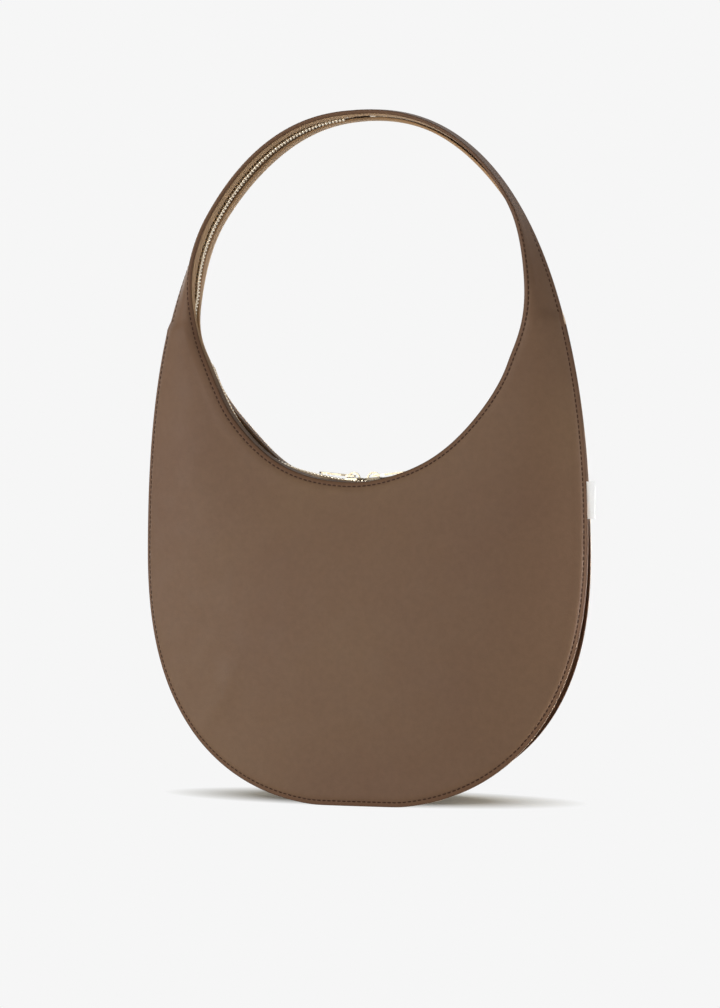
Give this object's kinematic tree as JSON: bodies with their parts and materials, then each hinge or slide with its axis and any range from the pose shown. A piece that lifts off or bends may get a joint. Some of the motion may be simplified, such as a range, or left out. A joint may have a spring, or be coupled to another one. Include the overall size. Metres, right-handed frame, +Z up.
{
  "type": "half moon bag",
  "caption": "Egg-shaped leather shoulder bag whose ring handle grows out of the body, with a zip round the ring, meeting sliders, a tapering gusset and a lined pouch.",
  "frame": {"origin": "middle of the base on the floor", "axes": "+Z up, +X to the right seen from the front, -Y the front panel"},
  "size_m": [0.2754, 0.0564, 0.4182],
  "materials": {
    "body_leather": "smooth matt taupe brown leather",
    "facing_leather": "smooth leather binding inside the ring",
    "zip_tape": "woven tan zip tape",
    "zip_metal": "polished pale gold teeth",
    "slider_metal": "polished pale gold die casting",
    "stiffener_board": "bonded leather board",
    "lining_cloth": "plain woven cotton",
    "label_ribbon": "plain white woven ribbon"
  },
  "bodies": {
    "bag": {"front_panel": "body_leather", "back_panel": "body_leather", "bottom_gusset": "body_leather", "front_mouth_facing": "facing_leather", "back_mouth_facing": "facing_leather", "front_zip_tape": "zip_tape", "back_zip_tape": "zip_tape", "front_zip_teeth": "zip_metal", "back_zip_teeth": "zip_metal", "zip_end_stops": "zip_metal", "front_stiffener": "stiffener_board", "back_stiffener": "stiffener_board", "front_lining": "lining_cloth", "back_lining": "lining_cloth", "gusset_lining": "lining_cloth", "base_board": "stiffener_board", "slip_pocket": "lining_cloth", "side_label": "label_ribbon"},
    "left_slider": {"left_slider_body": "slider_metal", "left_slider_bridge": "slider_metal"},
    "right_slider": {"right_slider_body": "slider_metal", "right_slider_bridge": "slider_metal"},
    "left_pull": {"left_pull_tab": "slider_metal"},
    "right_pull": {"right_pull_tab": "slider_metal"}
  },
  "joints": [
    {"name": "left_slider_run", "type": "hinge", "parent": "bag", "child": "left_slider", "pos_m": [0, 0, 0.2935], "axis": [0, 1, 0], "range_deg": [0, 64], "deforming": ["front_zip_tape", "back_zip_tape", "front_zip_teeth", "back_zip_teeth"]},
    {"name": "right_slider_run", "type": "hinge", "parent": "bag", "child": "right_slider", "pos_m": [0, 0, 0.2935], "axis": [0, -1, 0], "range_deg": [0, 64], "deforming": ["front_zip_tape", "back_zip_tape", "front_zip_teeth", "back_zip_teeth"]},
    {"name": "left_pull_swing", "type": "hinge", "parent": "left_slider", "child": "left_pull", "pos_m": [-0.00597, 0, 0.19723], "axis": [0, 1, 0], "range_deg": [0, 95]},
    {"name": "right_pull_swing", "type": "hinge", "parent": "right_slider", "child": "right_pull", "pos_m": [0.00597, 0, 0.19723], "axis": [0, -1, 0], "range_deg": [0, 95]}
  ]
}
